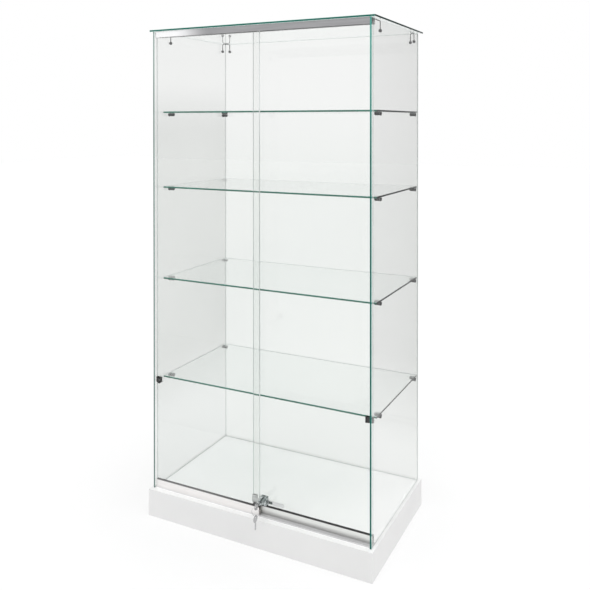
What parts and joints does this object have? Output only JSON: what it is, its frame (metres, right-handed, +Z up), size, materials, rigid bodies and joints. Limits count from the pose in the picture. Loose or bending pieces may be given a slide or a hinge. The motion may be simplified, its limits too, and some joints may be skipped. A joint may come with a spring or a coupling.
{
  "type": "glass display cabinet",
  "caption": "Frameless glass display cabinet on a white plinth, with glass shelves, sliding glass doors and a key lock on a ratchet bar.",
  "frame": {"origin": "on the floor, in the middle of the plinth's underside", "axes": "+X to the right as seen from the front, -Y out of the front, +Z up"},
  "size_m": [0.908, 0.5394, 1.81],
  "materials": {
    "white_board": "matt white laminate",
    "raw_timber": "sawn softwood",
    "zinc_steel": "zinc plated",
    "foot_plastic": "moulded",
    "clear_glass": "polished clear float glass, grey green edges",
    "support_metal": "dark polished",
    "clear_pad": "clear soft plastic",
    "clip_wire": "polished wire",
    "clip_pad": "dark glossy",
    "aluminium_profile": "satin anodised extrusion",
    "white_tape": "clear foam tape",
    "black_rubber": "matt",
    "black_plastic": "moulded, satin",
    "white_nylon": "moulded",
    "housing_plastic": "moulded",
    "roller_brass": "turned",
    "axle_steel": "ground",
    "lock_steel": "satin plated",
    "lock_chrome": "polished",
    "key_nickel": "nickel plated",
    "inlay_dark": "dark window"
  },
  "bodies": {
    "case": {"plinth_front": "white_board", "plinth_back": "white_board", "plinth_left": "white_board", "plinth_right": "white_board", "plinth_deck": "white_board", "plinth_stretcher": "raw_timber", "plinth_cleats": "raw_timber", "plinth_corner_blocks": "raw_timber", "corner_screws": "zinc_steel", "deck_screws": "zinc_steel", "leveller_pads": "foot_plastic", "leveller_studs": "zinc_steel", "leveller_inserts": "zinc_steel", "glass_left": "clear_glass", "glass_right": "clear_glass", "glass_back": "clear_glass", "glass_top": "clear_glass", "shelf_1": "clear_glass", "shelf_2": "clear_glass", "shelf_3": "clear_glass", "shelf_4": "clear_glass", "shelf_supports": "support_metal", "shelf_pads": "clear_pad", "back_corner_clips": "clip_wire", "front_corner_clips": "clip_wire", "clip_pads": "clip_pad", "top_channel": "aluminium_profile", "top_channel_tape": "white_tape", "bottom_track": "aluminium_profile", "bottom_track_screws": "zinc_steel"},
    "outer_door": {"outer_door_glass": "clear_glass", "outer_door_shoe": "aluminium_profile", "outer_door_gasket": "black_rubber", "outer_door_pull": "black_plastic", "outer_door_guides": "white_nylon", "outer_roller_housings": "housing_plastic", "outer_roller_axles": "axle_steel"},
    "outer_roller_left": {"outer_roller_left": "roller_brass"},
    "outer_roller_right": {"outer_roller_right": "roller_brass"},
    "inner_door": {"inner_door_glass": "clear_glass", "inner_door_shoe": "aluminium_profile", "inner_door_gasket": "black_rubber", "inner_door_pull": "black_plastic", "inner_door_guides": "white_nylon", "inner_roller_housings": "housing_plastic", "inner_roller_axles": "axle_steel", "lock_hook_bar": "lock_steel", "lock_bar_inlay": "inlay_dark"},
    "inner_roller_left": {"inner_roller_left": "roller_brass"},
    "inner_roller_right": {"inner_roller_right": "roller_brass"},
    "lock": {"lock_case": "lock_chrome"},
    "key": {"lock_plug": "lock_chrome", "lock_key": "key_nickel"},
    "key_ring": {"key_ring": "key_nickel"},
    "spare_key": {"spare_key": "key_nickel"}
  },
  "joints": [
    {"name": "outer_door_slide", "type": "slide", "parent": "case", "child": "outer_door", "axis": [1, 0, 0], "range_m": [0, 0.385]},
    {"name": "inner_door_slide", "type": "slide", "parent": "case", "child": "inner_door", "axis": [1, 0, 0], "range_m": [-0.39, 0]},
    {"name": "outer_roller_left_turn", "type": "hinge", "parent": "outer_door", "child": "outer_roller_left", "pos_m": [-0.386, -0.2219, 0.1082], "axis": [0, 1, 0], "range_deg": [0, 4050]},
    {"name": "outer_roller_right_turn", "type": "hinge", "parent": "outer_door", "child": "outer_roller_right", "pos_m": [-0.0285, -0.2219, 0.1082], "axis": [0, 1, 0], "range_deg": [0, 4050]},
    {"name": "inner_roller_left_turn", "type": "hinge", "parent": "inner_door", "child": "inner_roller_left", "pos_m": [0.0285, -0.2079, 0.1082], "axis": [0, 1, 0], "range_deg": [-4100, 0]},
    {"name": "inner_roller_right_turn", "type": "hinge", "parent": "inner_door", "child": "inner_roller_right", "pos_m": [0.386, -0.2079, 0.1082], "axis": [0, 1, 0], "range_deg": [-4100, 0]},
    {"name": "lock_slide", "type": "slide", "parent": "case", "child": "lock", "axis": [1, 0, 0], "range_m": [0, 0.385]},
    {"name": "key_turn", "type": "hinge", "parent": "lock", "child": "key", "pos_m": [0.0315, -0.2444, 0.157], "axis": [0, 1, 0], "range_deg": [0, 90]},
    {"name": "key_ring_swing", "type": "hinge", "parent": "key", "child": "key_ring", "pos_m": [0.0315, -0.2754, 0.15475], "axis": [-1, 0, 0], "range_deg": [-5, 60]},
    {"name": "spare_key_swing", "type": "hinge", "parent": "key_ring", "child": "spare_key", "pos_m": [0.0315, -0.2754, 0.12575], "axis": [-1, 0, 0], "range_deg": [-5, 60]}
  ],
  "couplings": [
    {"joint": "outer_roller_left_turn", "follows": "outer_door_slide", "rad_per_m": 181.82},
    {"joint": "outer_roller_right_turn", "follows": "outer_door_slide", "rad_per_m": 181.82},
    {"joint": "inner_roller_left_turn", "follows": "inner_door_slide", "rad_per_m": 181.82},
    {"joint": "inner_roller_right_turn", "follows": "inner_door_slide", "rad_per_m": 181.82},
    {"joint": "lock_slide", "follows": "outer_door_slide", "ratio": 1}
  ]
}
